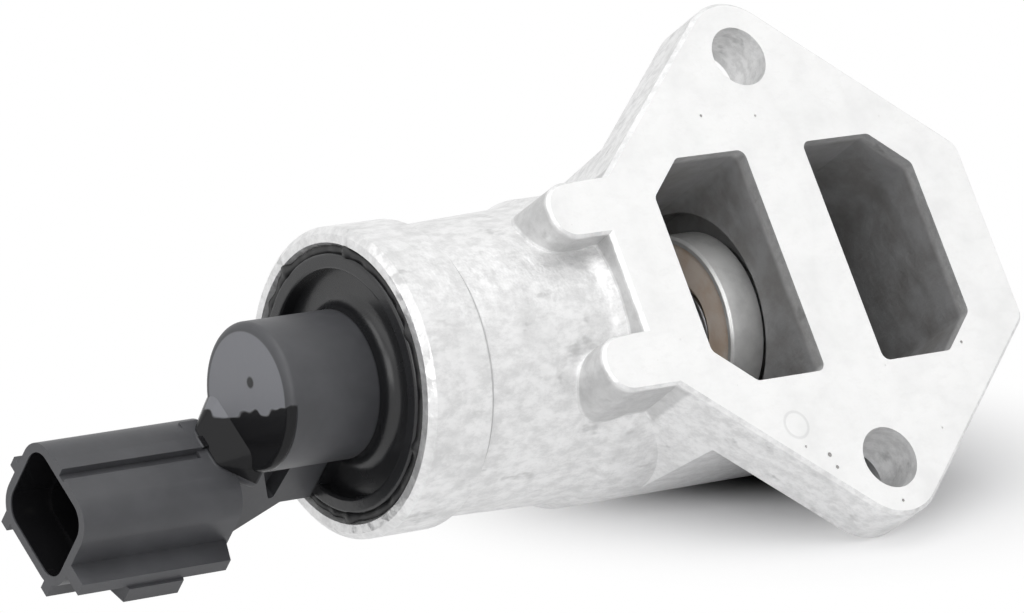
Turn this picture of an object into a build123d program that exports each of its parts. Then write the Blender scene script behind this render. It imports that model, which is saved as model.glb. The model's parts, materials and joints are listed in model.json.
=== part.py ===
from build123d import *
import math
import os

# Idle air control valve: a solenoid lifts a cup-shaped valve off its seat between two air chambers.
# Millimetres. The origin is the centre of the mounting face, which faces -Y. The two bolt holes stand
# one above the other along Z. The barrel runs along X behind the flange, with its connector at -X.

# Mounting flange
bolt_spacing = 48.0
bolt_hole_d = 7.0
lug_radius = 6.6
flange_thickness = 6.8
flange_half_width = 25.5
flange_shoulder = 10.6
flange_corner_radius = 2.0
flange_edge_chamfer = 0.4

# Air ports and the chambers behind them
bridge_width = 8.2
port_width = 14.0
port_height = 26.3
port_bevel_x = 4.6
port_bevel_z = 4.1
port_corner_radius = 1.0
chamber_radius = 13.1

# Barrel, collar and chamber block
axis_depth = 19.2
barrel_radius = 15.7
barrel_draft = 0.5
collar_radius = 16.7
collar_front_x = -51.8
collar_length = 7.8
collar_edge_chamfer = 0.7
block_radius = 16.9
block_flare = 1.4
block_left_x = -25.8
block_slope_length = 1.8
block_end_wall = 4.4
block_edge_radius = 2.5
solenoid_bore_radius = 13.6

# Ribs that run from the flange over the barrel
rib_reach = 32.3
rib_inner_z = 5.7
rib_outer_z = 12.1
rib_draft_angle = 1.0
rib_edge_chamfer = 0.3

# Cap disc, its seal and the rolled lip that holds it
lip_overlap = 0.35
lip_length = 0.6
disc_ledge = 1.45
disc_thickness = 3.2
disc_rim_inset = 0.8
disc_rim_width = 1.7
disc_rim_height = 0.6
disc_rim_edge_radius = 0.35
disc_dish_depth = 1.1
spigot_length = 1.6
cap_seal_section = 1.2
seal_groove_play = 0.3

# Boss, web and connector shell of the cap
boss_radius = 8.0
boss_length = 12.4
boss_edge_radius = 0.9
boss_foot_radius = 1.6
boss_end_wall = 3.2
connector_angle = -20.0
connector_offset = 13.35
connector_drop = 0.65
connector_width = 11.9
connector_height = 13.3
connector_corner_radius = 3.4
connector_gap = 0.6
connector_length = 19.8
connector_wall = 1.4
connector_depth = 17.0
connector_step_depth = 4.8
connector_step = 0.4
web_thickness = 8.0
web_foot = 13.4
web_foot_length = 6.0
web_slope_length = 5.4
web_far = 17.9
pocket_depth = 1.8
pocket_inset = 0.9
pocket_width = 3.7
pocket_reach = 6.1
pocket_corner_radius = 0.4
gusset_start = 2.9
gusset_width = 12.0
gusset_end_width = 5.0
gusset_length = 2.4
gusset_corner_radius = 0.4
lock_rail_offset = 0.65
lock_rail_width = 1.6
lock_rail_height = 2.75
lock_rail_slope = 1.3
lock_ramp_width = 2.0
lock_ramp_start = 4.6
lock_ramp_length = 10.0
lock_ramp_height = 3.1
lock_ramp_slope = 1.6
guide_rib_width = 1.3
guide_rib_height = 1.0
guide_rib_pitch = 9.4
key_rib_width = 1.5
key_rib_height = 0.5
key_groove_width = 1.0
key_groove_depth = 0.5

# Terminals
blade_width = 1.8
blade_thickness = 0.64
blade_pitch = 4.4
blade_reach = 12.0
blade_tip_chamfer = 0.2
lead_offset = 6.5
lead_bend_inset = 1.0
lead_slot_clearance = 0.4

# Valve head, its spring cup and its seat
head_radius = 10.8
head_rim_width = 0.75
head_length = 4.6
head_floor = 1.6
head_edge_chamfer = 0.3
head_seat_gap = 0.1
seat_floor_inset = 2.7
seat_ring_radius = 10.0
seat_ring_bore = 8.4
seat_ring_length = 5.2
seat_lip_height = 0.8
seat_lip_width = 0.9
valve_lift = 3.2
cup_thickness = 0.8
cup_pocket_radius = 6.2
cup_inset = 0.4

# Rod and its nut
rod_radius = 2.0
rod_neck_radius = 1.5
rod_end_chamfer = 0.3
rod_end_length = 0.6
nut_across_flats = 5.5
nut_thickness = 2.2
nut_edge_chamfer = 0.25

# Solenoid
front_plate_inset = 1.7
front_plate_thickness = 3.0
front_nose_radius = 4.0
front_nose_length = 2.4
front_seal_section = 1.3
bush_radius = 3.1
front_bush_length = 4.4
rear_bush_length = 4.0
case_wall = 1.3
rear_plate_thickness = 2.0
bobbin_wall = 0.8
bobbin_flange_thickness = 1.1
winding_height = 4.2
core_length = 8.0
core_radius = 5.6
core_tail_radius = 4.6
core_bore = 2.6
armature_radius = 5.6
armature_edge_chamfer = 0.4
armature_end_gap = 0.3
stop_washer_thickness = 0.3
stop_washer_radius = 4.8
stop_washer_bore = 2.5
spring_washer_thickness = 0.3
spring_washer_height = 0.9
spring_washer_inner = 8.8
adjuster_radius = 3.4
adjuster_length = 3.0
adjuster_socket = 2.5
adjuster_socket_depth = 1.5

# Springs
return_spring_radius = 4.85
return_spring_wire = 0.8
return_spring_turns = 5
balance_spring_radius = 1.85
balance_spring_wire = 0.5
balance_spring_turns = 5
balance_spring_length = 6.6

# Fits
fit_clearance = 0.04
guide_clearance = 0.03
bore_clearance = 0.1
coil_clearance = 0.3
spring_end_gap = 0.05

# Places along the barrel, worked out from the sizes above
port_inner_x = bridge_width / 2
port_outer_x = port_inner_x + port_width
block_right_x = port_outer_x + block_end_wall
collar_step_x = collar_front_x + collar_length
disc_front_x = collar_front_x + lip_length
disc_back_x = disc_front_x + disc_thickness
rim_x = disc_front_x - disc_rim_height
dish_x = disc_front_x + disc_dish_depth
spigot_end_x = disc_back_x + spigot_length
boss_end_x = disc_front_x - boss_length
connector_back_x = boss_end_x - connector_gap
gusset_end_x = boss_end_x - gusset_length
connector_mouth_x = connector_back_x - connector_length
connector_floor_x = connector_mouth_x + connector_depth

seat_floor_x = seat_floor_inset - port_inner_x
head_face_x = seat_floor_x - seat_lip_height - head_seat_gap
head_rim_x = head_face_x - head_length
head_floor_x = head_face_x - head_floor
cup_face_x = head_rim_x + cup_inset
cup_floor_x = head_floor_x - cup_thickness

front_plate_x = -port_outer_x - front_plate_inset
front_plate_back_x = front_plate_x - front_plate_thickness
nose_end_x = front_plate_x + front_nose_length
front_bush_x = nose_end_x - front_bush_length
rear_plate_x = spigot_end_x + rear_plate_thickness
bobbin_rear_x = rear_plate_x + spring_washer_height
core_front_x = rear_plate_x + core_length
core_end_x = boss_end_x + boss_end_wall + bore_clearance
armature_rear_x = core_front_x + stop_washer_thickness + valve_lift + armature_end_gap
armature_front_x = front_plate_back_x - armature_end_gap
rear_bush_x = core_front_x - rear_bush_length
adjuster_face_x = core_end_x + adjuster_length
rod_rear_x = adjuster_face_x + balance_spring_length
nut_end_x = head_face_x + nut_thickness

# Radii that follow
disc_radius = solenoid_bore_radius + disc_ledge
lip_radius = disc_radius - lip_overlap
rim_radius = lip_radius - disc_rim_inset
case_radius = solenoid_bore_radius - bore_clearance
case_inner_radius = case_radius - case_wall
bobbin_radius = case_inner_radius - coil_clearance
bobbin_bore = armature_radius + coil_clearance
winding_inner = bobbin_bore + bobbin_wall + fit_clearance
cup_radius = head_radius - head_rim_width - fit_clearance
spigot_radius = solenoid_bore_radius - bore_clearance
bush_bore = rod_radius + guide_clearance

# Planes
barrel_axis = Axis((0, axis_depth, 0), (1, 0, 0))
axis_plane = Plane(origin=(0, axis_depth, 0), x_dir=(1, 0, 0), z_dir=(0, -1, 0))
connector_tilt = math.radians(connector_angle)
outward = Vector(0, math.cos(connector_tilt), math.sin(connector_tilt))
across = Vector(0, -math.sin(connector_tilt), math.cos(connector_tilt))
web_plane = Plane(origin=(0, axis_depth, 0), x_dir=(1, 0, 0), z_dir=across)
lock_plane = Plane(origin=(0, axis_depth, 0), x_dir=(1, 0, 0), z_dir=-outward)

os.makedirs("parts", exist_ok=True)


def save(piece, name):
    """Labels a finished piece and writes it under its own name."""
    piece.part.label = name
    export_step(piece.part, f"parts/{name}.step")


def barrel_section(x):
    """Plane across the barrel at x, with Y to the right and Z up."""
    return Plane(origin=(x, axis_depth, 0), x_dir=(0, 1, 0), z_dir=(1, 0, 0))


def connector_section(x):
    """Plane across the connector at x, its first direction leading from the barrel axis to it."""
    return Plane(origin=(x, axis_depth, 0), x_dir=outward, z_dir=(1, 0, 0))


def port_outline(side):
    """Air port on one side of the bridge, its two outer corners bevelled."""
    half = port_height / 2
    return [
        (side * port_inner_x, half),
        (side * (port_outer_x - port_bevel_x), half),
        (side * port_outer_x, half - port_bevel_z),
        (side * port_outer_x, port_bevel_z - half),
        (side * (port_outer_x - port_bevel_x), -half),
        (side * port_inner_x, -half),
    ]


def turned(name, outline):
    """Piece turned about the barrel axis from an outline of places along it and radii."""
    with BuildPart() as piece:
        with BuildSketch(axis_plane):
            Polygon(*outline, align=None)
        revolve(axis=barrel_axis)
    save(piece, name)


def tube(name, left, right, outer, inner):
    """Plain tube or ring about the barrel axis."""
    turned(name, [(left, inner), (left, outer), (right, outer), (right, inner)])


def seal_ring(name, x, outer, section):
    """O-ring about the barrel axis, centred at x, its section an octagon."""
    with BuildPart() as piece:
        with BuildSketch(axis_plane):
            with Locations((x, outer - section / 2)):
                RegularPolygon(section / 2, 8, major_radius=False, rotation=22.5)
        revolve(axis=barrel_axis)
    save(piece, name)


def coil_spring(name, left, right, radius, wire, turns):
    """Coil spring about the barrel axis, its six-sided wire filling the space between two faces."""
    length = right - left - wire - 2 * spring_end_gap
    start = left + spring_end_gap + wire / 2
    with BuildPart() as piece:
        with BuildLine():
            coil = Helix(length / turns, length, radius, center=(start, axis_depth, 0), direction=(1, 0, 0))
        with BuildSketch(Plane(origin=coil @ 0, x_dir=(1, 0, 0), z_dir=coil % 0)):
            RegularPolygon(wire / 2, 6)
        sweep(is_frenet=True)
    save(piece, name)


def terminal_outline():
    """Side view of a terminal: the blade, the bend behind the shell and the lead to the coil."""
    half = blade_thickness / 2
    tip_x = connector_floor_x - blade_reach
    bend_x = boss_end_x + lead_bend_inset
    return [
        (tip_x, connector_offset - half),
        (bend_x, connector_offset - half),
        (bend_x, lead_offset - half),
        (bobbin_rear_x, lead_offset - half),
        (bobbin_rear_x, lead_offset + half),
        (bend_x + blade_thickness, lead_offset + half),
        (bend_x + blade_thickness, connector_offset + half),
        (tip_x, connector_offset + half),
    ]


# Air chambers: the ports carried back to a round bottom about the barrel axis
with BuildPart() as chambers:
    with BuildSketch(Plane.XZ):
        for side in (-1, 1):
            Polygon(*port_outline(side), align=None)
        fillet(vertices(), port_corner_radius)
    extrude(amount=-axis_depth - chamber_radius)
    with BuildSketch(barrel_section(-port_outer_x)):
        Circle(chamber_radius)
        with Locations((-axis_depth / 2, 0)):
            Rectangle(axis_depth, 2 * port_height)
    extrude(amount=2 * port_outer_x, mode=Mode.INTERSECT)

# Outline of the flange: six-sided, with its top and bottom corners rounded about the bolt holes
rise = bolt_spacing / 2 - flange_shoulder
spread = flange_half_width**2 - lug_radius**2
reach = lug_radius**2 * rise
reach += math.sqrt(reach**2 + spread * lug_radius**2 * (flange_half_width**2 + rise**2))
apex = bolt_spacing / 2 + reach / spread
with BuildSketch(Plane.XZ) as flange_outline:
    Polygon(
        (-flange_half_width, flange_shoulder),
        (-flange_half_width, -flange_shoulder),
        (0, -apex),
        (flange_half_width, -flange_shoulder),
        (flange_half_width, flange_shoulder),
        (0, apex),
        align=None,
    )
    fillet(vertices().group_by(Axis.X)[1], lug_radius)
    fillet(vertices().group_by(Axis.X)[0] + vertices().group_by(Axis.X)[-1], flange_corner_radius)

# Chamber block: drafted sides and a round back, kept within the flange's outline
with BuildPart() as chamber_block:
    with BuildSketch(barrel_section(block_left_x)):
        Circle(block_radius)
        Polygon(
            (0, block_radius),
            (flange_edge_chamfer - axis_depth, block_radius + block_flare),
            (flange_edge_chamfer - axis_depth, -block_radius - block_flare),
            (0, -block_radius),
            align=None,
        )
    extrude(amount=block_right_x - block_left_x)
    fillet(faces().sort_by(Axis.X)[-1].edges().sort_by(Axis.Y)[1:], block_edge_radius)
    extrude(flange_outline.sketch, amount=-axis_depth - block_radius, mode=Mode.INTERSECT)

# Ribs that run level with the mounting face over the barrel, rounded at their free end
rib_mid_z = (rib_inner_z + rib_outer_z) / 2
rib_width = rib_outer_z - rib_inner_z
with BuildPart() as ribs:
    for side in (-1, 1):
        with BuildSketch(Plane.XZ):
            with Locations((-rib_reach / 2, side * rib_mid_z)):
                Rectangle(rib_reach, rib_width)
            fillet(vertices().group_by(Axis.X)[0], rib_width * 0.46)
        extrude(amount=-axis_depth, taper=-rib_draft_angle)
    chamfer(faces().sort_by(Axis.Y)[0:2].edges(), rib_edge_chamfer)

# Die-cast body: flange, ribs, barrel, collar and chamber block in one piece
with BuildPart() as valve_body:
    # flange plate with a narrow bevel round its mounting face
    extrude(flange_outline.sketch, amount=-flange_thickness)
    chamfer(faces().sort_by(Axis.Y)[0].edges(), flange_edge_chamfer)

    add(ribs.part)

    # collar, barrel and the round shoulder where the chamber block starts
    with BuildSketch(axis_plane):
        Polygon(
            (collar_front_x, 0),
            (collar_front_x, collar_radius - collar_edge_chamfer),
            (collar_front_x + collar_edge_chamfer, collar_radius),
            (collar_step_x, collar_radius),
            (collar_step_x + collar_radius - barrel_radius, barrel_radius),
            (block_left_x - block_slope_length, barrel_radius + barrel_draft),
            (block_left_x, block_radius),
            (-port_outer_x, block_radius),
            (-port_outer_x, 0),
            align=None,
        )
    revolve(axis=barrel_axis)
    add(chamber_block.part)

    # air chambers and bolt holes
    add(chambers.part, mode=Mode.SUBTRACT)
    with BuildSketch(Plane.XZ):
        with GridLocations(0, bolt_spacing, 1, 2):
            Circle(bolt_hole_d / 2)
    extrude(amount=-flange_thickness, mode=Mode.SUBTRACT)

    # bores for the cap, the solenoid, the valve head and the seat ring
    with BuildSketch(axis_plane):
        Polygon(
            (collar_front_x, 0),
            (collar_front_x, lip_radius + lip_overlap),
            (disc_front_x, lip_radius),
            (disc_front_x, disc_radius + fit_clearance),
            (disc_back_x, disc_radius + fit_clearance),
            (disc_back_x, solenoid_bore_radius),
            (front_plate_x, solenoid_bore_radius),
            (front_plate_x, chamber_radius),
            (seat_floor_x, chamber_radius),
            (seat_floor_x, seat_ring_radius + fit_clearance),
            (port_inner_x, seat_ring_radius + fit_clearance),
            (port_inner_x, 0),
            align=None,
        )
    revolve(axis=barrel_axis, mode=Mode.SUBTRACT)
save(valve_body, "valve_body")

# Terminals, each bent from one strip: blade, bend and lead to the coil
blades = {}
for name, side in (("lower_terminal", -1), ("upper_terminal", 1)):
    with BuildPart() as terminal:
        with BuildSketch(web_plane.offset(side * blade_pitch / 2)):
            Polygon(*terminal_outline(), align=None)
        extrude(amount=blade_width / 2, both=True)
        chamfer(faces().sort_by(Axis.X)[0].edges(), blade_tip_chamfer)
    save(terminal, name)
    blades[name] = terminal.part

# Cap: disc, boss, web and connector shell moulded in one piece round the terminals
connector_near = connector_offset - connector_width / 2
connector_far = connector_offset + connector_width / 2
connector_bottom = -connector_drop - connector_height / 2
connector_top = -connector_drop + connector_height / 2
with BuildPart() as connector_cap:
    # dished disc and round boss
    with BuildSketch(axis_plane):
        Polygon(
            (boss_end_x, 0),
            (boss_end_x, boss_radius),
            (dish_x, boss_radius),
            (dish_x, rim_radius - disc_rim_width),
            (rim_x, rim_radius - disc_rim_width),
            (rim_x, rim_radius),
            (disc_front_x, rim_radius),
            (disc_front_x, disc_radius),
            (disc_back_x, disc_radius),
            (disc_back_x, spigot_radius),
            (spigot_end_x, spigot_radius),
            (spigot_end_x, 0),
            align=None,
        )
        fillet(vertices().sort_by_distance((boss_end_x, boss_radius))[0], boss_edge_radius)
        fillet(vertices().sort_by_distance((dish_x, boss_radius))[0], boss_foot_radius)
        fillet(vertices().sort_by_distance((rim_x, rim_radius - disc_rim_width / 2))[0:2], disc_rim_edge_radius)
    revolve(axis=barrel_axis)

    # web that carries the connector, with a pocket in both of its sides
    with BuildSketch(web_plane):
        Polygon(
            (dish_x, 0),
            (dish_x, web_foot),
            (dish_x - web_foot_length, web_foot),
            (dish_x - web_foot_length - web_slope_length, web_far),
            (connector_floor_x, web_far),
            (connector_floor_x, connector_near),
            (boss_end_x + boss_edge_radius, connector_near),
            (boss_end_x + boss_edge_radius, 0),
            align=None,
        )
    extrude(amount=web_thickness / 2, both=True)
    for side in (-1, 1):
        with BuildSketch(web_plane.offset(side * (web_thickness / 2 - pocket_depth))):
            pocket_x = dish_x - web_foot_length - pocket_inset
            Polygon(
                (pocket_x - pocket_width, connector_near),
                (pocket_x, connector_near),
                (pocket_x - pocket_width / 8, connector_near + pocket_reach),
                align=None,
            )
            fillet(vertices(), pocket_corner_radius)
        extrude(amount=side * pocket_depth, mode=Mode.SUBTRACT)

    # gusset that runs down from the end of the boss onto the shell
    with BuildSketch(connector_section(boss_end_x + boss_edge_radius)):
        with Locations(((gusset_start + connector_near + connector_wall) / 2, 0)):
            RectangleRounded(
                connector_near + connector_wall - gusset_start,
                gusset_width,
                connector_corner_radius - connector_wall,
            )
    with BuildSketch(connector_section(gusset_end_x)):
        with Locations((connector_near + connector_wall / 2, 0)):
            RectangleRounded(connector_wall, gusset_end_width, gusset_corner_radius)
    loft(ruled=True)

    # connector shell with its guide ribs, key rib and key groove
    with BuildSketch(connector_section(connector_mouth_x)):
        with Locations((connector_offset, -connector_drop)):
            RectangleRounded(connector_width, connector_height, connector_corner_radius)
        with Locations((connector_offset, connector_top)):
            Rectangle(guide_rib_width, 2 * guide_rib_height)
        with Locations((connector_far, -connector_drop)):
            with GridLocations(0, guide_rib_pitch, 1, 2):
                Rectangle(2 * guide_rib_height, guide_rib_width)
        with Locations((connector_near, -connector_drop + (key_groove_width + key_rib_width) / 2)):
            Rectangle(2 * key_rib_height, key_rib_width)
        with Locations((connector_near, -connector_drop)):
            Rectangle(2 * key_groove_depth, key_groove_width, mode=Mode.SUBTRACT)
    extrude(amount=connector_length)

    # lock rail along the shell, with the lock ramp on its far side
    rail_s = connector_offset + lock_rail_offset
    with BuildSketch(lock_plane.offset(-rail_s)):
        Polygon(
            (connector_mouth_x, connector_bottom + connector_wall),
            (connector_mouth_x, connector_bottom - lock_rail_height),
            (connector_back_x - lock_rail_slope, connector_bottom - lock_rail_height),
            (connector_back_x, connector_bottom + connector_wall),
            align=None,
        )
    extrude(amount=-lock_rail_width)
    ramp_start_x = connector_mouth_x + lock_ramp_start
    with BuildSketch(lock_plane.offset(-rail_s - lock_rail_width)):
        Polygon(
            (ramp_start_x, connector_bottom + connector_wall),
            (ramp_start_x + lock_ramp_slope, connector_bottom - lock_ramp_height),
            (ramp_start_x + lock_ramp_length - lock_ramp_slope, connector_bottom - lock_ramp_height),
            (ramp_start_x + lock_ramp_length, connector_bottom + connector_wall),
            align=None,
        )
    extrude(amount=-lock_ramp_width)

    # socket, a little wider at its mouth
    for depth, wall in ((connector_depth, connector_wall), (connector_step_depth, connector_wall - connector_step)):
        with BuildSketch(connector_section(connector_mouth_x)):
            with Locations((connector_offset, -connector_drop)):
                RectangleRounded(
                    connector_width - 2 * wall,
                    connector_height - 2 * wall,
                    connector_corner_radius - wall,
                )
        extrude(amount=depth, mode=Mode.SUBTRACT)

    # bore for the tail of the pole core, and the groove of the seal
    with BuildSketch(barrel_section(spigot_end_x)):
        Circle(core_tail_radius + bore_clearance)
    extrude(amount=core_end_x - bore_clearance - spigot_end_x, mode=Mode.SUBTRACT)
    seal_x = (dish_x + disc_back_x) / 2
    with BuildSketch(axis_plane):
        with Locations((seal_x, disc_radius)):
            Rectangle(cap_seal_section + seal_groove_play, 2 * (cap_seal_section + fit_clearance))
    revolve(axis=barrel_axis, mode=Mode.SUBTRACT)
    for blade in blades.values():
        add(blade, mode=Mode.SUBTRACT)
save(connector_cap, "connector_cap")
seal_ring("cap_seal", seal_x, disc_radius - fit_clearance / 2, cap_seal_section)

# Valve seat pressed into the wall between the chambers
turned("valve_seat", [
    (seat_floor_x - seat_lip_height, seat_ring_bore),
    (seat_floor_x - seat_lip_height, seat_ring_bore + seat_lip_width),
    (seat_floor_x, seat_ring_bore + seat_lip_width),
    (seat_floor_x, seat_ring_radius),
    (seat_floor_x + seat_ring_length, seat_ring_radius),
    (seat_floor_x + seat_ring_length, seat_ring_bore),
])

# Valve head: a turned cup, open towards the solenoid
turned("valve_head", [
    (head_face_x, rod_neck_radius + fit_clearance),
    (head_face_x, head_radius - head_edge_chamfer),
    (head_face_x - head_edge_chamfer, head_radius),
    (head_rim_x + head_edge_chamfer, head_radius),
    (head_rim_x, head_radius - head_edge_chamfer),
    (head_rim_x, head_radius - head_rim_width),
    (head_floor_x, head_radius - head_rim_width),
    (head_floor_x, rod_neck_radius + fit_clearance),
])

# Spring cup: pressed from sheet, with a pocket for the return spring
turned("spring_cup", [
    (cup_floor_x, rod_neck_radius + fit_clearance),
    (cup_floor_x, cup_pocket_radius),
    (cup_face_x, cup_pocket_radius),
    (cup_face_x, cup_radius),
    (head_floor_x, cup_radius),
    (head_floor_x, cup_radius - cup_thickness),
    (cup_face_x + cup_thickness, cup_radius - cup_thickness),
    (cup_face_x + cup_thickness, cup_pocket_radius + cup_thickness),
    (head_floor_x, cup_pocket_radius + cup_thickness),
    (head_floor_x, rod_neck_radius + fit_clearance),
])

# Rod, shouldered where it carries the cup and the head
turned("valve_rod", [
    (rod_rear_x, 0),
    (rod_rear_x, rod_radius - rod_end_chamfer),
    (rod_rear_x + rod_end_chamfer, rod_radius),
    (cup_floor_x, rod_radius),
    (cup_floor_x, rod_neck_radius),
    (nut_end_x + rod_end_length - rod_end_chamfer, rod_neck_radius),
    (nut_end_x + rod_end_length, rod_neck_radius - rod_end_chamfer),
    (nut_end_x + rod_end_length, 0),
])

with BuildPart() as rod_nut:
    with BuildSketch(barrel_section(head_face_x)):
        RegularPolygon(nut_across_flats / 2, 6, major_radius=False)
        Circle(rod_neck_radius + fit_clearance, mode=Mode.SUBTRACT)
    extrude(amount=nut_thickness)
    chamfer(faces().sort_by(Axis.X)[-1].outer_wire().edges(), nut_edge_chamfer)
save(rod_nut, "rod_nut")

# Front plate with the groove of its seal and the nose that guides the spring
front_seal_x = (front_plate_back_x + front_plate_x) / 2
front_groove_half = (front_seal_section + seal_groove_play) / 2
front_groove_radius = case_radius - front_seal_section
turned("front_plate", [
    (front_plate_back_x, core_bore),
    (front_plate_back_x, case_radius),
    (front_seal_x - front_groove_half, case_radius),
    (front_seal_x - front_groove_half, front_groove_radius),
    (front_seal_x + front_groove_half, front_groove_radius),
    (front_seal_x + front_groove_half, case_radius),
    (front_plate_x, case_radius),
    (front_plate_x, front_nose_radius),
    (nose_end_x, front_nose_radius),
    (nose_end_x, bush_radius + fit_clearance),
    (front_bush_x, bush_radius + fit_clearance),
    (front_bush_x, core_bore),
])
seal_ring("front_seal", front_seal_x, case_radius + bore_clearance / 2, front_seal_section)
tube("front_bush", front_bush_x, nose_end_x, bush_radius, bush_bore)

# Solenoid: case, plates, bobbin, winding, core and armature
tube("solenoid_case", spigot_end_x, front_plate_back_x, case_radius, case_inner_radius)
with BuildPart() as rear_plate:
    with BuildSketch(connector_section(spigot_end_x)):
        Circle(case_inner_radius - fit_clearance)
        Circle(core_tail_radius + fit_clearance, mode=Mode.SUBTRACT)
        with Locations((lead_offset, 0)):
            Rectangle(
                blade_thickness + 2 * lead_slot_clearance,
                blade_pitch + blade_width + 2 * lead_slot_clearance,
                mode=Mode.SUBTRACT,
            )
    extrude(amount=rear_plate_thickness)
save(rear_plate, "rear_plate")
turned("spring_washer", [
    (rear_plate_x, spring_washer_inner),
    (rear_plate_x + spring_washer_thickness, spring_washer_inner),
    (bobbin_rear_x, bobbin_radius),
    (bobbin_rear_x - spring_washer_thickness, bobbin_radius),
])
turned("coil_bobbin", [
    (bobbin_rear_x, bobbin_bore),
    (bobbin_rear_x, bobbin_radius),
    (bobbin_rear_x + bobbin_flange_thickness, bobbin_radius),
    (bobbin_rear_x + bobbin_flange_thickness, bobbin_bore + bobbin_wall),
    (front_plate_back_x - bobbin_flange_thickness, bobbin_bore + bobbin_wall),
    (front_plate_back_x - bobbin_flange_thickness, bobbin_radius),
    (front_plate_back_x, bobbin_radius),
    (front_plate_back_x, bobbin_bore),
])
tube(
    "coil_winding",
    bobbin_rear_x + bobbin_flange_thickness + fit_clearance,
    front_plate_back_x - bobbin_flange_thickness - fit_clearance,
    winding_inner + winding_height,
    winding_inner,
)
turned("pole_core", [
    (core_end_x, adjuster_radius + fit_clearance),
    (core_end_x, core_tail_radius),
    (rear_plate_x, core_tail_radius),
    (rear_plate_x, core_radius),
    (core_front_x, core_radius),
    (core_front_x, bush_radius + fit_clearance),
    (rear_bush_x, bush_radius + fit_clearance),
    (rear_bush_x, core_bore),
    (adjuster_face_x, core_bore),
    (adjuster_face_x, adjuster_radius + fit_clearance),
])
tube("rear_bush", rear_bush_x, core_front_x, bush_radius, bush_bore)
tube("stop_washer", core_front_x, core_front_x + stop_washer_thickness, stop_washer_radius, stop_washer_bore)
turned("armature", [
    (armature_rear_x, rod_radius + fit_clearance),
    (armature_rear_x, armature_radius - armature_edge_chamfer),
    (armature_rear_x + armature_edge_chamfer, armature_radius),
    (armature_front_x - armature_edge_chamfer, armature_radius),
    (armature_front_x, armature_radius - armature_edge_chamfer),
    (armature_front_x, rod_radius + fit_clearance),
])
with BuildPart() as spring_adjuster:
    with BuildSketch(barrel_section(core_end_x)):
        Circle(adjuster_radius)
    extrude(amount=adjuster_length)
    with BuildSketch(barrel_section(core_end_x)):
        RegularPolygon(adjuster_socket / 2, 6, major_radius=False)
    extrude(amount=adjuster_socket_depth, mode=Mode.SUBTRACT)
save(spring_adjuster, "spring_adjuster")

# Springs
coil_spring(
    "return_spring", front_plate_x, cup_floor_x, return_spring_radius, return_spring_wire, return_spring_turns
)
coil_spring(
    "balance_spring", adjuster_face_x, rod_rear_x, balance_spring_radius, balance_spring_wire, balance_spring_turns
)
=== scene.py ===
import json
import math

import bmesh
import bpy
from bpy.props import FloatProperty, FloatVectorProperty, PointerProperty
from mathutils import Matrix, Vector, noise


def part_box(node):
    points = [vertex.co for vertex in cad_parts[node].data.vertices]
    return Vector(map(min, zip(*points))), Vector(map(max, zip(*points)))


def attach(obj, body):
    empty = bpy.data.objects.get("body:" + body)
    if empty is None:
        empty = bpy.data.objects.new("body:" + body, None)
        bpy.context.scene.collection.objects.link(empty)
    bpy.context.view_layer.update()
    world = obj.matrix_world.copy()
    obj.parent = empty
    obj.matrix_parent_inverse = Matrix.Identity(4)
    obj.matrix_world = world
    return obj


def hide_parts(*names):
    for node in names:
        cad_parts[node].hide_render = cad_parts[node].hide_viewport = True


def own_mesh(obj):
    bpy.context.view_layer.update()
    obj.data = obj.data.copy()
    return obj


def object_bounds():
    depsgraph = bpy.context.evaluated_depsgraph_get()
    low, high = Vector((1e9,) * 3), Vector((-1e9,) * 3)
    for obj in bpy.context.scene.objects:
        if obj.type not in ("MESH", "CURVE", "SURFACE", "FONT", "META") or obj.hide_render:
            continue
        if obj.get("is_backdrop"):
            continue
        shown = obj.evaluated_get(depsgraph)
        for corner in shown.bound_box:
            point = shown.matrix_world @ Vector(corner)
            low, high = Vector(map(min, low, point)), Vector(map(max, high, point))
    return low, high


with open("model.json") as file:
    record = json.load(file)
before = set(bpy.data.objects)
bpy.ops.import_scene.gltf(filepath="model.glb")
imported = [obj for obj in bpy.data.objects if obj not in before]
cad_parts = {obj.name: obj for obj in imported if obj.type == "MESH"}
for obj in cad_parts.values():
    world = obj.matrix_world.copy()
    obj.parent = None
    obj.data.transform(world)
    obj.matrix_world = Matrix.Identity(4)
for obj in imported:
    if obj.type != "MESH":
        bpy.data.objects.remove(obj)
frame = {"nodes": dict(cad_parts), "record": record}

bl_info = {
    "name": "Idle air control valve",
    "version": (1, 0, 0),
    "blender": (4, 5, 0),
    "location": "View3D > Sidebar > Valve",
    "description": "Surfaces and fine pieces of a solenoid air valve, around its CAD frame",
    "category": "Object",
}

MM = 0.001
RECORD_SLOTS = {row["node"]: row["material_slot"] for row in frame["record"]["subparts"]}

# Centre line of the barrel, which the valve head shares, the front of the collar, and the middle of the
# wall that closes the chambers at the other end
HEAD_LOW, HEAD_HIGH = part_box("valve_head")
AXIS_Y = (HEAD_LOW.y + HEAD_HIGH.y) / 2
COLLAR_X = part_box("valve_body")[0].x
END_WALL_X = 20.3 * MM

# The cap: the ledge of its disc behind the rolled lip, the radii beside it and the end of its boss
LEDGE_X = COLLAR_X + 0.6 * MM
DISC_RIM_RADIUS = 13.9 * MM
LIP_RADIUS = 14.7 * MM
BOSS_END_X = LEDGE_X - 12.4 * MM
CONNECTOR_TURN = math.radians(-20)

# The connector's socket in its two directions: its middle, and how far from it the round corners start
SOCKET_OUTWARD = (13.35 * MM, 2.55 * MM)
SOCKET_ACROSS = (-0.65 * MM, 3.25 * MM)
MOUTH_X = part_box("connector_cap")[0].x

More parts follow.
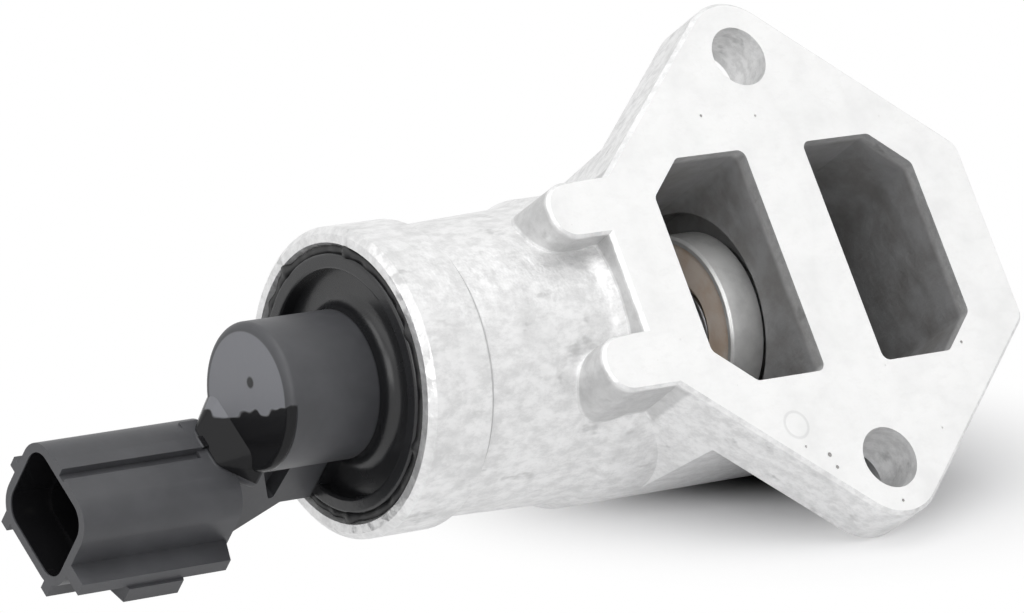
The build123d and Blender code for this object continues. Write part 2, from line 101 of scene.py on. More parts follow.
# Wire and turns of the two springs, the turns that are closed at each end, and how finely they are made
SPRING_WIRES = {"return_spring": 0.8 * MM, "balance_spring": 0.5 * MM}
SPRING_TURNS = {"return_spring": 6, "balance_spring": 7}
CLOSED_TURNS = 0.8
WIRE_SIDES = 10
TURN_STEPS = 40

# The squeezed sealing: where round the barrel it stands out most, in degrees, how wide and how high it does
# so there, and how finely it is made
SEALING_BULGES = (80, 128, 182, 232, 297)
BULGE_WIDTH = math.radians(3.2)
BULGE_HEIGHT = 1.6
SEALING_STEPS = 240

# Camera of the photograph: where it stands, its picture's right and up, its lens and sensor in millimetres,
# and how steeply it looks down on the floor
CAMERA_PLACE = Vector((-0.41132, -0.47603, -0.16603))
CAMERA_RIGHT = Vector((0.7976483, -0.5061008, -0.3280536))
CAMERA_UP = Vector((0.1161222, -0.4048781, 0.9069671))
CAMERA_LENS = 210.78
SENSOR_WIDTH = 36.0
CAMERA_HEIGHT_ANGLE = math.radians(14.7)

# Light that the white room sends to matt surfaces; the camera and gloss see it at full white
ROOM_LIGHT = 0.38

# Lamps: how far up, right and towards the camera each one stands as seen from the valve, its distance and
# width in metres, and its watts
LAMPS = {
    "top_light": (1.0, 0.0, 0.25, 0.6, 0.55, 1.6),
    "left_light": (0.6, -1.0, 0.5, 0.6, 0.4, 0.3),
    "front_light": (0.45, 0.0, 1.0, 0.8, 0.5, 1.5),
}

# The floor's painted shadow: the middle of the block that it lies under, and how dark the floor's colour is
# painted there
BLOCK_MIDDLE_X = 8 * MM
PAINTED_SHADOW_LEVEL = 0.05


class Value:
    """A shader socket. Python's operators on it add the Math nodes that they stand for."""

    def __init__(self, surface, socket):
        self.surface = surface
        self.socket = socket

    def maths(self, operation, *values):
        return self.surface.node("ShaderNodeMath", {"operation": operation}, values)

    def __add__(self, other):
        return self.maths("ADD", self, other)

    def __radd__(self, other):
        return self.maths("ADD", other, self)

    def __sub__(self, other):
        return self.maths("SUBTRACT", self, other)

    def __rsub__(self, other):
        return self.maths("SUBTRACT", other, self)

    def __mul__(self, other):
        return self.maths("MULTIPLY", self, other)

    def __neg__(self):
        return self.maths("MULTIPLY", self, -1.0)

    def __abs__(self):
        return self.maths("ABSOLUTE", self)

    def sine(self):
        return self.maths("SINE", self)

    def least(self, other):
        return self.maths("MINIMUM", self, other)

    def most(self, other):
        return self.maths("MAXIMUM", self, other)

    def step(self, low, high):
        """0 below low and 1 above high, with a smooth rise between them; falls if low is the larger."""
        settings = {"interpolation_type": "SMOOTHSTEP", "clamp": True}
        if low < high:
            values = {"Value": self, "From Min": low, "From Max": high, "To Min": 0.0, "To Max": 1.0}
        else:
            values = {"Value": self, "From Min": high, "From Max": low, "To Min": 1.0, "To Max": 0.0}
        return self.surface.node("ShaderNodeMapRange", settings, values)


class Surface:
    """One procedural material, or the world, and the nodes in it."""

    def __init__(self, name, family=None):
        self.material = (bpy.data.materials if family is None else family).new(name)
        self.material.use_nodes = True
        self.nodes = self.material.node_tree.nodes
        self.links = self.material.node_tree.links
        self.nodes.clear()
        self.place = self.node("ShaderNodeTexCoord", {}, {}, "Object")
        self.x, self.y, self.z = self.parts(self.place)

    def node(self, kind, settings, values, output=0):
        """Adds a node: its settings first, then the values or links of its sockets."""
        made = self.nodes.new(kind)
        for key, setting in settings.items():
            setattr(made, key, setting)
        pairs = values.items() if isinstance(values, dict) else enumerate(values)
        for key, value in pairs:
            if isinstance(value, Value):
                self.links.new(value.socket, made.inputs[key])
            elif value is not None:
                made.inputs[key].default_value = value
        return Value(self, made.outputs[output])

    def parts(self, vector):
        split = self.node("ShaderNodeSeparateXYZ", {}, [vector])
        return [Value(self, socket) for socket in split.socket.node.outputs]

    def vector(self, x, y, z):
        return self.node("ShaderNodeCombineXYZ", {}, [x, y, z])

    def noise(self, size, detail=2.0, rough=0.5, stretch=(1, 1, 1), offset=(0, 0, 0)):
        """Cloudy pattern from 0 to 1 whose blotches measure about size metres."""
        moved = self.node(
            "ShaderNodeMapping", {}, {"Vector": self.place, "Location": offset, "Scale": stretch}
        )
        values = {"Vector": moved, "Scale": 1 / size, "Detail": detail, "Roughness": rough}
        return self.node("ShaderNodeTexNoise", {}, values, "Fac")

    def cells(self, size):
        """Distance to the nearest of many scattered points that lie about size metres apart."""
        values = {"Vector": self.place, "Scale": 1 / size, "Randomness": 1.0}
        return self.node("ShaderNodeTexVoronoi", {}, values, "Distance")

    def mix(self, share, first, second):
        """Colour that goes from first to second as share goes from 0 to 1."""
        first = first if isinstance(first, Value) else (*first, 1.0)
        second = second if isinstance(second, Value) else (*second, 1.0)
        return self.node("ShaderNodeMix", {"data_type": "RGBA"}, {0: share, 6: first, 7: second}, 2)

    def blend(self, share, first, second):
        """Number that goes from first to second as share goes from 0 to 1."""
        return self.node("ShaderNodeMix", {"data_type": "FLOAT"}, {0: share, 2: first, 3: second}, 0)

    def facing(self, axis):
        """How squarely the surface faces along a row axis: 0 for X, 1 for Y, 2 for Z."""
        normal = self.node("ShaderNodeNewGeometry", {}, {}, "True Normal")
        local = self.node(
            "ShaderNodeVectorTransform",
            {"vector_type": "NORMAL", "convert_from": "WORLD", "convert_to": "OBJECT"},
            [normal],
        )
        return self.parts(local)[axis]

    def around(self):
        """Distance from the barrel's centre line."""
        offset = self.vector(0.0, self.y - AXIS_Y, self.z)
        return self.node("ShaderNodeVectorMath", {"operation": "LENGTH"}, [offset], "Value")

    def outward(self):
        """Distance from the barrel's centre line in the direction of the connector."""
        return (self.y - AXIS_Y) * math.cos(CONNECTOR_TURN) + self.z * math.sin(CONNECTOR_TURN)

    def across(self):
        """Distance from the barrel's centre line square to outward."""
        return self.z * math.cos(CONNECTOR_TURN) - (self.y - AXIS_Y) * math.sin(CONNECTOR_TURN)

    def band(self, value, middle, half, soft):
        """1 where a value lies within half of a middle, fading to 0 over soft."""
        return abs(value - middle).step(half + soft, half)

    def spot(self, x, y, z):
        """Distance from one point."""
        values = [self.place, (x, y, z)]
        return self.node("ShaderNodeVectorMath", {"operation": "DISTANCE"}, values, "Value")

    def bump(self, height, distance, strength=1.0, normal=None):
        """Relief whose height goes from 0 to 1 over distance metres."""
        values = {"Height": height, "Distance": distance, "Strength": strength}
        if normal is not None:
            values["Normal"] = normal
        return self.node("ShaderNodeBump", {}, values)

    def principled(self, colour, metallic, roughness, normal=None, **constants):
        values = {"Metallic": metallic, "Roughness": roughness}
        values["Base Color"] = colour if isinstance(colour, Value) else (*colour, 1.0)
        if normal is not None:
            values["Normal"] = normal
        for name, value in constants.items():
            values[name.replace("_", " ")] = value
        return self.node("ShaderNodeBsdfPrincipled", {}, values)

    def background_rays(self):
        """1 for the rays that show the background: the camera's, and those off gloss and through glass."""
        camera = self.node("ShaderNodeLightPath", {}, {}, "Is Camera Ray")
        rays = camera.socket.node.outputs
        return camera.most(Value(self, rays["Is Glossy Ray"])).most(Value(self, rays["Is Transmission Ray"]))

    def close(self, shader, output="ShaderNodeOutputMaterial"):
        """Links a shader to the output."""
        output = self.nodes.new(output)
        self.links.new(shader.socket, output.inputs["Surface"])
        return self.material

    def finish(self, *values, **constants):
        """Closes the material with one Principled shader."""
        return self.close(self.principled(*values, **constants))


class ValveSettings(bpy.types.PropertyGroup):
    """Colours and sizes that a user would change"""

    casting_colour: FloatVectorProperty(
        name="Casting",
        description="Colour of the die-cast aluminium",
        default=(0.88, 0.88, 0.88),
        subtype="COLOR",
        min=0.0,
        max=1.0,
    )
    machined_colour: FloatVectorProperty(
        name="Machined face",
        description="Colour of the milled mounting face",
        default=(1.0, 1.0, 0.995),
        subtype="COLOR",
        min=0.0,
        max=1.0,
    )
    plastic_colour: FloatVectorProperty(
        name="Moulding",
        description="Colour of the moulded cap and its connector",
        default=(0.056, 0.057, 0.062),
        subtype="COLOR",
        min=0.0,
        max=1.0,
    )
    edge_radius: FloatProperty(
        name="Cast edge",
        description="Rounding of the casting's edges",
        default=0.16 * MM,
        min=0.05 * MM,
        max=1.0 * MM,
        unit="LENGTH",
    )
    moulded_edge_radius: FloatProperty(
        name="Moulded edge",
        description="Rounding of the moulding's edges",
        default=0.18 * MM,
        min=0.05 * MM,
        max=0.6 * MM,
        unit="LENGTH",
    )
    floor_colour: FloatVectorProperty(
        name="Floor",
        description="Colour of the floor",
        default=(0.92, 0.92, 0.93),
        subtype="COLOR",
        min=0.0,
        max=1.0,
    )


def linked(name, data):
    """New object in the scene that shows its data."""
    made = bpy.data.objects.new(name, data)
    bpy.context.scene.collection.objects.link(made)
    return made


def object_from(shape, name, smooth=True):
    """Turns a bmesh into an object at the origin."""
    mesh = bpy.data.meshes.new(name)
    shape.to_mesh(mesh)
    shape.free()
    if smooth:
        mesh.shade_smooth()
    return linked(name, mesh)


def mesh_from(shape, name):
    """Turns a new bmesh into a smooth object, with its normals outward."""
    bmesh.ops.remove_doubles(shape, verts=shape.verts, dist=1e-7)
    bmesh.ops.recalc_face_normals(shape, faces=shape.faces)
    return object_from(shape, name)


def merged_copy(node, name):
    """Copy of a CAD node with its loose triangles joined and its flat faces dissolved."""
    shape = bmesh.new()
    shape.from_mesh(frame["nodes"][node].data)
    bmesh.ops.remove_doubles(shape, verts=shape.verts, dist=1e-6)
    bmesh.ops.dissolve_limit(
        shape, angle_limit=math.radians(0.5), verts=shape.verts, edges=shape.edges,
        use_dissolve_boundaries=False,
    )
    return object_from(shape, name)


def round_edges(piece, width, angle=30.0, segments=2):
    """Rounds the sharp edges of a piece with a live bevel, and keeps its flat faces flat."""
    bevel = piece.modifiers.new("rounded edges", "BEVEL")
    bevel.width = width
    bevel.segments = segments
    bevel.limit_method = "ANGLE"
    bevel.angle_limit = math.radians(angle)
    bevel.use_clamp_overlap = True
    flatten = piece.modifiers.new("flat faces stay flat", "WEIGHTED_NORMAL")
    flatten.mode = "FACE_AREA"
    flatten.weight = 90


def dress(piece, body, material):
    """Gives a new piece its body and material."""
    piece.data.materials.clear()
    piece.data.materials.append(material)
    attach(piece, body)


def shaded(colour, share):
    """A colour times a share."""
    return [c * share for c in colour]


def cast_aluminium(settings):
    """Die-cast skin, milled mounting face, hammered lip round the cap and sooty air chambers."""
    s = Surface("cast_aluminium")
    grain = s.noise(0.35 * MM, 3.0, 0.6)
    cloud = s.noise(6 * MM, 4.0, 0.6)
    dents = s.noise(2.2 * MM, 3.0, 0.5)
    blotch = s.noise(1.3 * MM, 5.0, 0.7, stretch=(0.6, 1.0, 1.0))
    scuffs = s.noise(2.6 * MM, 3.0, 0.6, stretch=(0.5, 1.0, 1.0), offset=(0.1, 0.4, 0.0)).step(0.60, 0.74)
    face = s.y.step(0.12 * MM, 0.02 * MM) * (-s.facing(1)).step(0.9, 0.99)
    lip = s.x.step(COLLAR_X + 1.0 * MM, COLLAR_X + 0.7 * MM)

    # open pores in the milled face, and the ring that an ejector pin left
    porous = s.noise(5 * MM, 1.0, offset=(0.3, 0.1, 0.2)).step(0.54, 0.62)
    pores = s.cells(2.3 * MM).step(0.09, 0.04) * porous
    for x, z, size in ((-7.8, -22.6, 0.30), (-7.4, -24.1, 0.24), (-0.4, -29.0, 0.2)):
        pores = pores.most(s.spot(x * MM, 0.0, z * MM).step(size * MM, 0.6 * size * MM))
    ring = s.band(s.spot(-10.7 * MM, 0.0, -18.7 * MM), 1.5 * MM, 0.08 * MM, 0.15 * MM)

    cast, clean = settings.casting_colour, settings.machined_colour
    skin = s.mix(blotch.step(0.36, 0.66), cast, shaded(cast, 0.82))
    skin = s.mix(cloud.step(0.45, 0.8) * 0.5, skin, shaded(cast, 0.72))
    skin = s.mix(scuffs * 0.6, skin, (0.42, 0.42, 0.42))
    milled = s.mix(cloud.step(0.35, 0.8), clean, shaded(clean, 0.9))
    milled = s.mix(blotch.step(0.45, 0.7) * 0.5, milled, shaded(clean, 0.9))
    milled = s.mix(ring * 0.25, milled, (0.5, 0.5, 0.5))
    milled = s.mix(pores, milled, (0.35, 0.34, 0.33))

    # painted shade: darker skin in a thin line at the step behind the collar and on the steep walls of the
    # ribs and the flange, where less light reaches
    around = s.around()
    painted_step_shade = s.band(s.x, COLLAR_X + 8.25 * MM, 0.22 * MM, 0.2 * MM) * around.step(15.0 * MM, 15.1 * MM)
    painted_wall_shade = (around - s.x.step(-27.8 * MM, -25.8 * MM) * (0.8 * MM)).step(16.3 * MM, 16.6 * MM)
    painted_wall_shade = painted_wall_shade * s.y.step(0.3 * MM, 0.9 * MM) * s.y.step(14 * MM, 12 * MM)
    painted_wall_shade = painted_wall_shade * s.x.step(-12 * MM, -20 * MM) * s.x.step(-33.5 * MM, -33.2 * MM)
    # painted shade on the steep walls, away from their tops and bottoms
    skin = s.mix(painted_wall_shade * 0.5 * abs(s.z).step(13.4 * MM, 13.0 * MM), skin, (0.42, 0.42, 0.42))
    # painted shade: a thin dark line at the step behind the collar
    skin = s.mix(painted_step_shade * 0.5, skin, (0.40, 0.40, 0.40))
    colour = s.mix(face, skin, milled)

    # soot in the chambers and the bore between them, with a brown stain in the right one
    bore = around.step(13.75 * MM, 13.6 * MM) * s.y.step(1.2 * MM, 2.5 * MM)
    pocket = (abs(s.x) - 11.1 * MM).step(7.15 * MM, 7.0 * MM) * abs(s.z).step(13.3 * MM, 13.1 * MM)
    pocket = pocket * s.y.step(AXIS_Y + 0.2 * MM, AXIS_Y)
    inside = bore.most(pocket) * s.y.step(0.9 * MM, 2.0 * MM) * s.x.step(END_WALL_X + 0.2 * MM, END_WALL_X)
    soot = s.noise(4 * MM, 4.0, 0.6, offset=(0.5, 0.2, 0.0)).step(0.35, 0.7)
    chamber = s.mix(soot, (0.37, 0.37, 0.375), (0.28, 0.274, 0.269))
    stain = s.spot(8 * MM, 20 * MM, 8 * MM).step(11 * MM, 3 * MM) * soot.most(0.4)
    chamber = s.mix(stain * 0.8, chamber, (0.17, 0.145, 0.125))
    colour = s.mix(inside, colour, chamber)

    relief = s.bump(grain, 0.03 * MM, 0.6)
    relief = s.bump(dents, 0.22 * MM, 1.0 - face, relief)
    relief = s.bump(s.cells(1.7 * MM), 0.15 * MM, lip, relief)
    relief = s.bump(1.0 - pores * face, 0.15 * MM, 1.0, relief)
    roughness = s.blend(face, 0.46, 0.45) + (blotch - 0.5) * 0.3
    roughness = s.blend(lip, roughness, 0.30)
    roughness = s.blend(inside, roughness, 0.55)
    metallic = s.blend(inside.most(face), 0.65, 0.35)
    return s.finish(colour, metallic, roughness, relief)


def satin_plastic(settings, name, lift=1.0):
    """Glass-filled black plastic: satin, with a fine grain, and lift times as pale as the moulding."""
    s = Surface(name)
    grain = s.noise(0.25 * MM, 2.0, 0.6)
    cloud = s.noise(5 * MM, 3.0, 0.6)
    base = shaded(settings.plastic_colour, lift)
    colour = s.mix(cloud.step(0.3, 0.8), base, shaded(base, 1.35))
    relief = s.bump(grain, 0.015 * MM, 0.6)
    return s.finish(colour, 0.0, 0.34 + cloud * 0.18, relief, IOR=1.5)


def cap_plastic(settings):
    """The cap's plastic: a matt boss whose end face is paler with a painted reflection, glossy and near
    black on the lower part of that end, painted shade inside the connector's socket, and a glossier disc.
    """
    s = Surface("cap_plastic")
    grain = s.noise(0.25 * MM, 2.0, 0.6)
    cloud = s.noise(5 * MM, 3.0, 0.6)
    wave = (s.noise(3.2 * MM, 1.0) - 0.5) * (3.2 * MM)
    outward, across = s.outward(), s.across()
    boss_end = s.x.step(BOSS_END_X + 1.0 * MM, BOSS_END_X + 0.7 * MM) * outward.step(7.3 * MM, 7.1 * MM)
    boss_end = boss_end * s.x.step(BOSS_END_X - 3.0 * MM, BOSS_END_X - 2.6 * MM)
    height = s.z - (s.y - AXIS_Y) * 0.36 + (s.x - BOSS_END_X).least(0.0) * 0.7 + wave
    # glossy and near black on the lower part of the boss's end and just behind it, below a wavy line
    glossy_black_patch = boss_end * height.step(-1.8 * MM, -2.1 * MM)
    # painted shade: the inside of the connector's socket, made near black and glossy below
    past_corner = s.vector(
        (abs(outward - SOCKET_OUTWARD[0]) - SOCKET_OUTWARD[1]).most(0.0),
        (abs(across - SOCKET_ACROSS[0]) - SOCKET_ACROSS[1]).most(0.0),
        0.0,
    )
    past_corner = s.node("ShaderNodeVectorMath", {"operation": "LENGTH"}, [past_corner], "Value")
    socket = past_corner.step(2.7 * MM, 2.5 * MM) * s.x.step(BOSS_END_X - 1.0 * MM, BOSS_END_X - 1.5 * MM)
    socket = socket * s.x.step(MOUTH_X + 0.1 * MM, MOUTH_X + 0.25 * MM)
    gate = s.spot(BOSS_END_X, AXIS_Y - 1.5 * MM, 1.1 * MM).step(0.75 * MM, 0.45 * MM)
    disc = s.x.step(LEDGE_X - 1.2 * MM, LEDGE_X - 0.9 * MM)

    base = settings.plastic_colour
    colour = s.mix(cloud.step(0.3, 0.8), base, shaded(base, 1.3))
    # painted reflection: the boss's end face is made paler, standing in for the white room seen in it
    colour = s.mix(boss_end * s.around().step(7.1 * MM, 6.9 * MM), colour, shaded(base, 3.6))
    colour = s.mix(disc, colour, shaded(base, 0.3))
    # near black: the gate mark that moulding left, and the painted shade inside the socket
    colour = s.mix(gate.most(socket), colour, (0.006, 0.006, 0.007))
    roughness = 0.36 + cloud * 0.18
    roughness = s.blend(disc, roughness, 0.20 + cloud * 0.12)
    relief = s.bump(grain, 0.015 * MM, 0.6)
    relief = s.bump(cloud, 0.10 * MM, 0.5, relief)
    relief = s.bump(glossy_black_patch, 0.08 * MM, 1.0, relief)
    # the glossy near-black shader covers the patch on the boss's end and the painted shade in the socket
    plain = s.principled(colour, 0.0, roughness, relief, IOR=1.5)
    glossy = s.principled((0.010, 0.010, 0.011), 0.0, 0.2, relief, IOR=1.28)
    return s.close(s.node("ShaderNodeMixShader", {}, [glossy_black_patch.most(socket), plain, glossy]))


def metal(name, colour, roughness, metallic=1.0, turned=0.0, tint=None):
    """Plain metal with fine turning marks about the barrel's centre line and a slight tint in patches."""
    s = Surface(name)
    cloud = s.noise(3 * MM, 4.0, 0.6)
    shade = s.mix(cloud.step(0.35, 0.75), colour, tint or shaded(colour, 0.82))
    relief = s.bump(s.noise(0.2 * MM, 2.0, 0.6), 0.01 * MM, 0.5)
    if turned:
        rings = (s.around() * (2 * math.pi / (turned * MM)) + s.noise(1 * MM) * 2.0).sine()
        relief = s.bump(rings, 0.006 * MM, 0.5, relief)
    rough = roughness + (cloud - 0.5) * 0.2
    return s.finish(shade, metallic, rough, relief)


def black_rubber():
    s = Surface("black_rubber")
    cloud = s.noise(1.5 * MM, 3.0, 0.6)
    colour = s.mix(cloud.step(0.3, 0.8), (0.012, 0.012, 0.013), (0.03, 0.03, 0.03))
    relief = s.bump(cloud, 0.06 * MM, 0.6)
    return s.finish(colour, 0.0, 0.35 + cloud * 0.3, relief)


class VALVE_OT_body(bpy.types.Operator):
    """Die-cast body with rounded cast edges"""

    bl_idname = "valve.body"
    bl_label = "Die-cast body"

    def execute(self, context):
        settings = context.scene.valve
        body = merged_copy("valve_body", "cast_body")
        round_edges(body, settings.edge_radius)
        dress(body, "housing", cast_aluminium(settings))
        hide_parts("valve_body")
        return {"FINISHED"}


class VALVE_OT_cap(bpy.types.Operator):
    """Moulded cap with its connector"""

    bl_idname = "valve.cap"
    bl_label = "Moulded cap"

    def execute(self, context):
        settings = context.scene.valve
        cap = merged_copy("connector_cap", "moulded_cap")
        round_edges(cap, settings.moulded_edge_radius)
        dress(cap, "housing", cap_plastic(settings))
        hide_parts("connector_cap")
        return {"FINISHED"}


def wound_wire(name, node):
    """Round wire wound about the barrel's centre line in a spring node's place, its end turns closed."""
    low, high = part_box(node)
    wire = SPRING_WIRES[node]
    start = Matrix.Translation((low.x + wire / 2, AXIS_Y + (high.z - low.z - wire) / 2, 0))
    shape = bmesh.new()
    section = bmesh.ops.create_circle(shape, segments=WIRE_SIDES, radius=wire / 2, matrix=start)["verts"]
    end = section + list({edge for v in section for edge in v.link_edges})
    open_turns = SPRING_TURNS[node] - 2 * CLOSED_TURNS
    open_rise = high.x - low.x - 3 * wire
    for turns, rise in ((CLOSED_TURNS, wire), (open_turns, open_rise), (CLOSED_TURNS, wire)):
        count = round(turns * TURN_STEPS)
        end = bmesh.ops.spin(
            shape, geom=end, cent=(0, AXIS_Y, 0), axis=(1, 0, 0), dvec=(rise / count, 0, 0),
            angle=turns * math.tau, steps=count, use_duplicate=False,
        )["geom_last"]
    bmesh.ops.holes_fill(shape, edges=shape.edges)
    return mesh_from(shape, name)


class VALVE_OT_springs(bpy.types.Operator):
    """Coil springs of round wire with closed end turns"""

    bl_idname = "valve.springs"
    bl_label = "Springs"

    def execute(self, context):
        for node in SPRING_WIRES:
            coil = wound_wire(node + "_coil", node)
            dress(coil, "housing", metal(node + "_steel", (0.42, 0.42, 0.43), 0.30))
            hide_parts(node)
            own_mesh(coil)
        return {"FINISHED"}


def swelling(angle):
    """How far the sealing stands out at an angle round the barrel: uneven everywhere, most at its bulges."""
    swell = 0.5 + noise.noise(Vector((math.cos(angle), math.sin(angle), 0)) * 9)
    for bulge in SEALING_BULGES:
        apart = abs((angle - math.radians(bulge) + math.pi) % math.tau - math.pi)
        swell += BULGE_HEIGHT * math.exp(-(apart / BULGE_WIDTH) ** 2)
    return swell


class VALVE_OT_sealing(bpy.types.Operator):
    """Uneven black sealing that was squeezed out between the disc and the rolled lip"""

    bl_idname = "valve.sealing"
    bl_label = "Squeezed sealing"

    def execute(self, context):
        shape = bmesh.new()
        section = [
            shape.verts.new((LEDGE_X + depth * MM, AXIS_Y + radius, 0)) for depth, radius in (
                (0.05, DISC_RIM_RADIUS - 0.05 * MM), (-0.08, DISC_RIM_RADIUS - 0.05 * MM),
                (-0.18, (DISC_RIM_RADIUS + LIP_RADIUS) / 2), (-0.03, LIP_RADIUS), (0.05, LIP_RADIUS),
            )
        ]
        edges = [shape.edges.new((section[k - 1], section[k])) for k in range(5)]
        bmesh.ops.spin(
            shape, geom=section + edges, cent=(0, AXIS_Y, 0), axis=(1, 0, 0), angle=math.tau,
            steps=SEALING_STEPS, use_merge=True, use_duplicate=False,
        )
        for v in shape.verts:
            if v.co.x > LEDGE_X:
                continue
            off = Vector((0, v.co.y - AXIS_Y, v.co.z))
            swell = swelling(math.atan2(off.z, off.y))
            if off.length > LIP_RADIUS - 0.01 * MM:
                v.co += off.normalized() * (0.28 * MM * max(swell - 0.8, 0))
            v.co.x -= 0.3 * MM * max(swell, 0)
        ring = mesh_from(shape, "squeezed_sealing")
        dress(ring, "housing", black_rubber())
        return {"FINISHED"}


class VALVE_OT_surfaces(bpy.types.Operator):
    """Materials of the pieces that keep their CAD shape"""

    bl_idname = "valve.surfaces"
    bl_label = "Surfaces"

    def execute(self, context):
        settings = context.scene.valve
        surfaces = {
            "casting": cast_aluminium(settings),
            "black_plastic": satin_plastic(settings, "inner_plastic"),
            "seal_rubber": black_rubber(),
            "turned_steel": metal("turned_steel", (0.95, 0.95, 0.94), 0.34, 0.5, turned=0.12),
            "bronze_sheet": metal(
                "bronze_sheet", (0.98, 0.86, 0.76), 0.45, 0.0, turned=0.3, tint=(0.88, 0.70, 0.56)
            ),
            "seat_steel": metal("seat_steel", (0.50, 0.50, 0.50), 0.30, turned=0.1),
            "rod_steel": metal("rod_steel", (0.66, 0.66, 0.67), 0.22),
            "zinc_steel": metal("zinc_steel", (0.60, 0.60, 0.57), 0.38, tint=(0.52, 0.50, 0.42)),
            "spring_steel": metal("spring_steel", (0.42, 0.42, 0.43), 0.30),
            "bush_bronze": metal("bush_bronze", (0.55, 0.37, 0.20), 0.40),
            "bobbin_plastic": satin_plastic(settings, "bobbin_plastic", 2.4),
            "copper_wire": metal("copper_wire", (0.58, 0.26, 0.12), 0.32),
            "soft_iron": metal("soft_iron", (0.38, 0.38, 0.38), 0.36, turned=0.15),
            "tinned_brass": metal("tinned_brass", (0.66, 0.64, 0.56), 0.26),
        }
        for name, node in frame["nodes"].items():
            node.data.materials.clear()
            node.data.materials.append(surfaces[RECORD_SLOTS[name]])
        return {"FINISHED"}


def camera_axes():
    """Right, up and back directions of the photograph's camera."""
    right = CAMERA_RIGHT.normalized()
    back = right.cross(CAMERA_UP).normalized()
    return right, back.cross(right), back


def place_camera():
    right, up, back = camera_axes()
    data = bpy.data.cameras.new("camera")
    data.lens = CAMERA_LENS
    data.sensor_width = SENSOR_WIDTH
    data.clip_start = 0.01
    data.clip_end = 10.0
    camera = linked("camera", data)
    turn = Matrix((right, up, back)).transposed().to_4x4()
    camera.matrix_world = Matrix.Translation(CAMERA_PLACE) @ turn
    bpy.context.scene.camera = camera


def floor_frame():
    """The floor that the valve lies on: its up direction and its height along it."""
    right, up, back = camera_axes()
    floor_up = up * math.cos(CAMERA_HEIGHT_ANGLE) + back * math.sin(CAMERA_HEIGHT_ANGLE)
    heights = [floor_up.dot(v.co) for node in frame["nodes"].values() for v in node.data.vertices]
    return floor_up, min(heights)


def floor_material(settings, middle):
    """Pale floor with a painted soft shadow about a middle beside its real shadow, runs out to white and is
    not seen from below.
    """
    s = Surface("pale_floor")
    seen = s.background_rays()
    near = s.spot(*middle)
    # painted shadow: the floor's colour is darkened where the block rests, in a smaller patch for the rays
    # that show the floor and a larger one for light that bounces up onto the valve
    painted_contact_shadow = s.blend(seen, near.step(34 * MM, 5 * MM), near.step(17 * MM, 4 * MM))
    shade = s.mix(painted_contact_shadow, settings.floor_colour, shaded(settings.floor_colour, PAINTED_SHADOW_LEVEL))
    diffuse = s.node("ShaderNodeBsdfDiffuse", {}, {"Color": shade})
    white = s.node("ShaderNodeEmission", {}, {"Color": (1.0, 1.0, 1.0, 1.0), "Strength": 1.0})
    clear = s.node("ShaderNodeBsdfTransparent", {}, {})
    below = s.node("ShaderNodeNewGeometry", {}, {}, "Backfacing")
    shadowed = near.step(48 * MM, 12 * MM)
    lit = s.node("ShaderNodeMixShader", {}, [seen * (1.0 - shadowed), diffuse, white])
    return s.close(s.node("ShaderNodeMixShader", {}, [below, lit, clear]))


def add_lamp(name, target, direction, distance, size, power):
    """Square soft light that shines on a target from a direction."""
    data = bpy.data.lights.new(name, "AREA")
    data.shape = "SQUARE"
    data.size = size
    data.energy = power
    lamp = linked(name, data)
    direction = direction.normalized()
    lamp.matrix_world = Matrix.Translation(target + direction * distance) @ direction.to_track_quat(
        "Z", "Y"
    ).to_matrix().to_4x4()


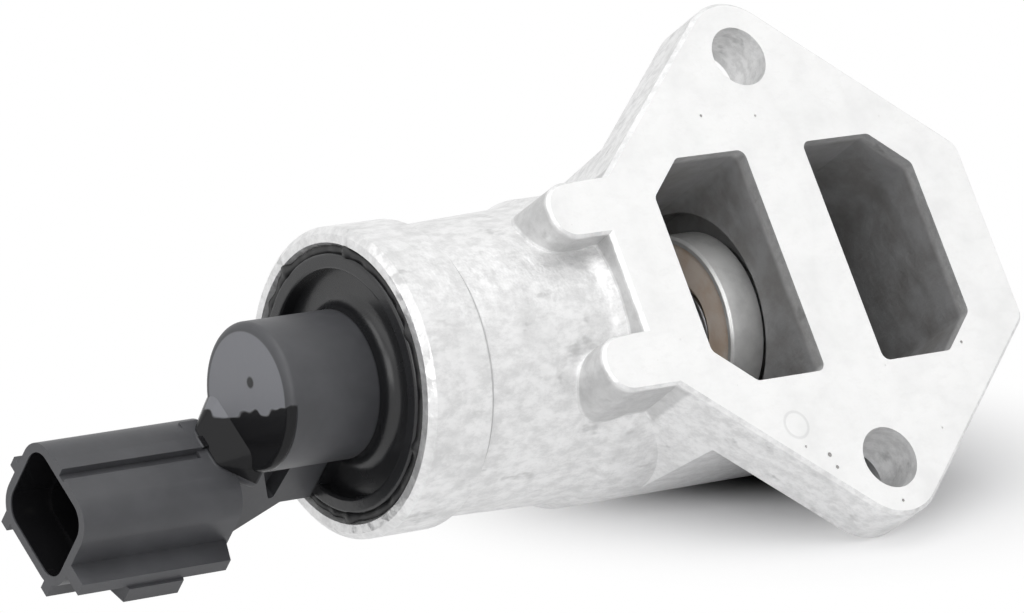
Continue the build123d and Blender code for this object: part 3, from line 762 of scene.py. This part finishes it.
class VALVE_OT_stage(bpy.types.Operator):
    """Floor, light and camera"""

    bl_idname = "valve.stage"
    bl_label = "Stage"

    def execute(self, context):
        settings = context.scene.valve
        scene = context.scene
        scene.view_settings.view_transform = "Standard"
        place_camera()
        right, up, back = camera_axes()
        floor_up, level = floor_frame()
        low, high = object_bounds()
        middle = (low + high) / 2

        shape = bmesh.new()
        bmesh.ops.create_grid(shape, x_segments=1, y_segments=1, size=2.0)
        turn = floor_up.to_track_quat("Z", "Y").to_matrix().to_4x4()
        foot = middle + floor_up * (level - floor_up.dot(middle))
        bmesh.ops.transform(shape, matrix=Matrix.Translation(foot) @ turn, verts=shape.verts)
        floor = object_from(shape, "floor", smooth=False)
        block = Vector((BLOCK_MIDDLE_X, AXIS_Y, 0))
        under = block + floor_up * (level - floor_up.dot(block))
        floor.data.materials.append(floor_material(settings, under))
        floor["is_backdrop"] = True

        toward = (back - floor_up * back.dot(floor_up)).normalized()
        for name, (rise, side, front, distance, size, power) in LAMPS.items():
            direction = floor_up * rise + right * side + toward * front
            add_lamp(name, middle, direction, distance, size, power)

        s = Surface("white_room", bpy.data.worlds)
        white = (1.0, 1.0, 1.0, 1.0)
        room = s.node("ShaderNodeBackground", {}, {"Color": white, "Strength": ROOM_LIGHT})
        backdrop = s.node("ShaderNodeBackground", {}, {"Color": white, "Strength": 1.0})
        mixed = s.node("ShaderNodeMixShader", {}, [s.background_rays(), room, backdrop])
        scene.world = s.close(mixed, "ShaderNodeOutputWorld")
        return {"FINISHED"}


class VALVE_PT_panel(bpy.types.Panel):
    """Buttons for the valve's pieces and its stage"""

    bl_label = "Idle air control valve"
    bl_idname = "VALVE_PT_panel"
    bl_space_type = "VIEW_3D"
    bl_region_type = "UI"
    bl_category = "Valve"

    def draw(self, context):
        column = self.layout.column()
        for name in ValveSettings.__annotations__:
            column.prop(context.scene.valve, name)
        for step in STEPS:
            column.operator(step.bl_idname)


STEPS = (
    VALVE_OT_surfaces, VALVE_OT_body, VALVE_OT_cap, VALVE_OT_sealing, VALVE_OT_springs, VALVE_OT_stage
)


def register():
    for group in (ValveSettings, *STEPS, VALVE_PT_panel):
        bpy.utils.register_class(group)
    bpy.types.Scene.valve = PointerProperty(type=ValveSettings)


def unregister():
    del bpy.types.Scene.valve
    for group in reversed((ValveSettings, *STEPS, VALVE_PT_panel)):
        bpy.utils.unregister_class(group)


def main():
    register()
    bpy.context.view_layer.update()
    bpy.ops.valve.surfaces()
    bpy.ops.valve.body()
    bpy.ops.valve.cap()
    bpy.ops.valve.sealing()
    bpy.ops.valve.springs()
    bpy.ops.valve.stage()


if __name__ == "__main__":
    main()
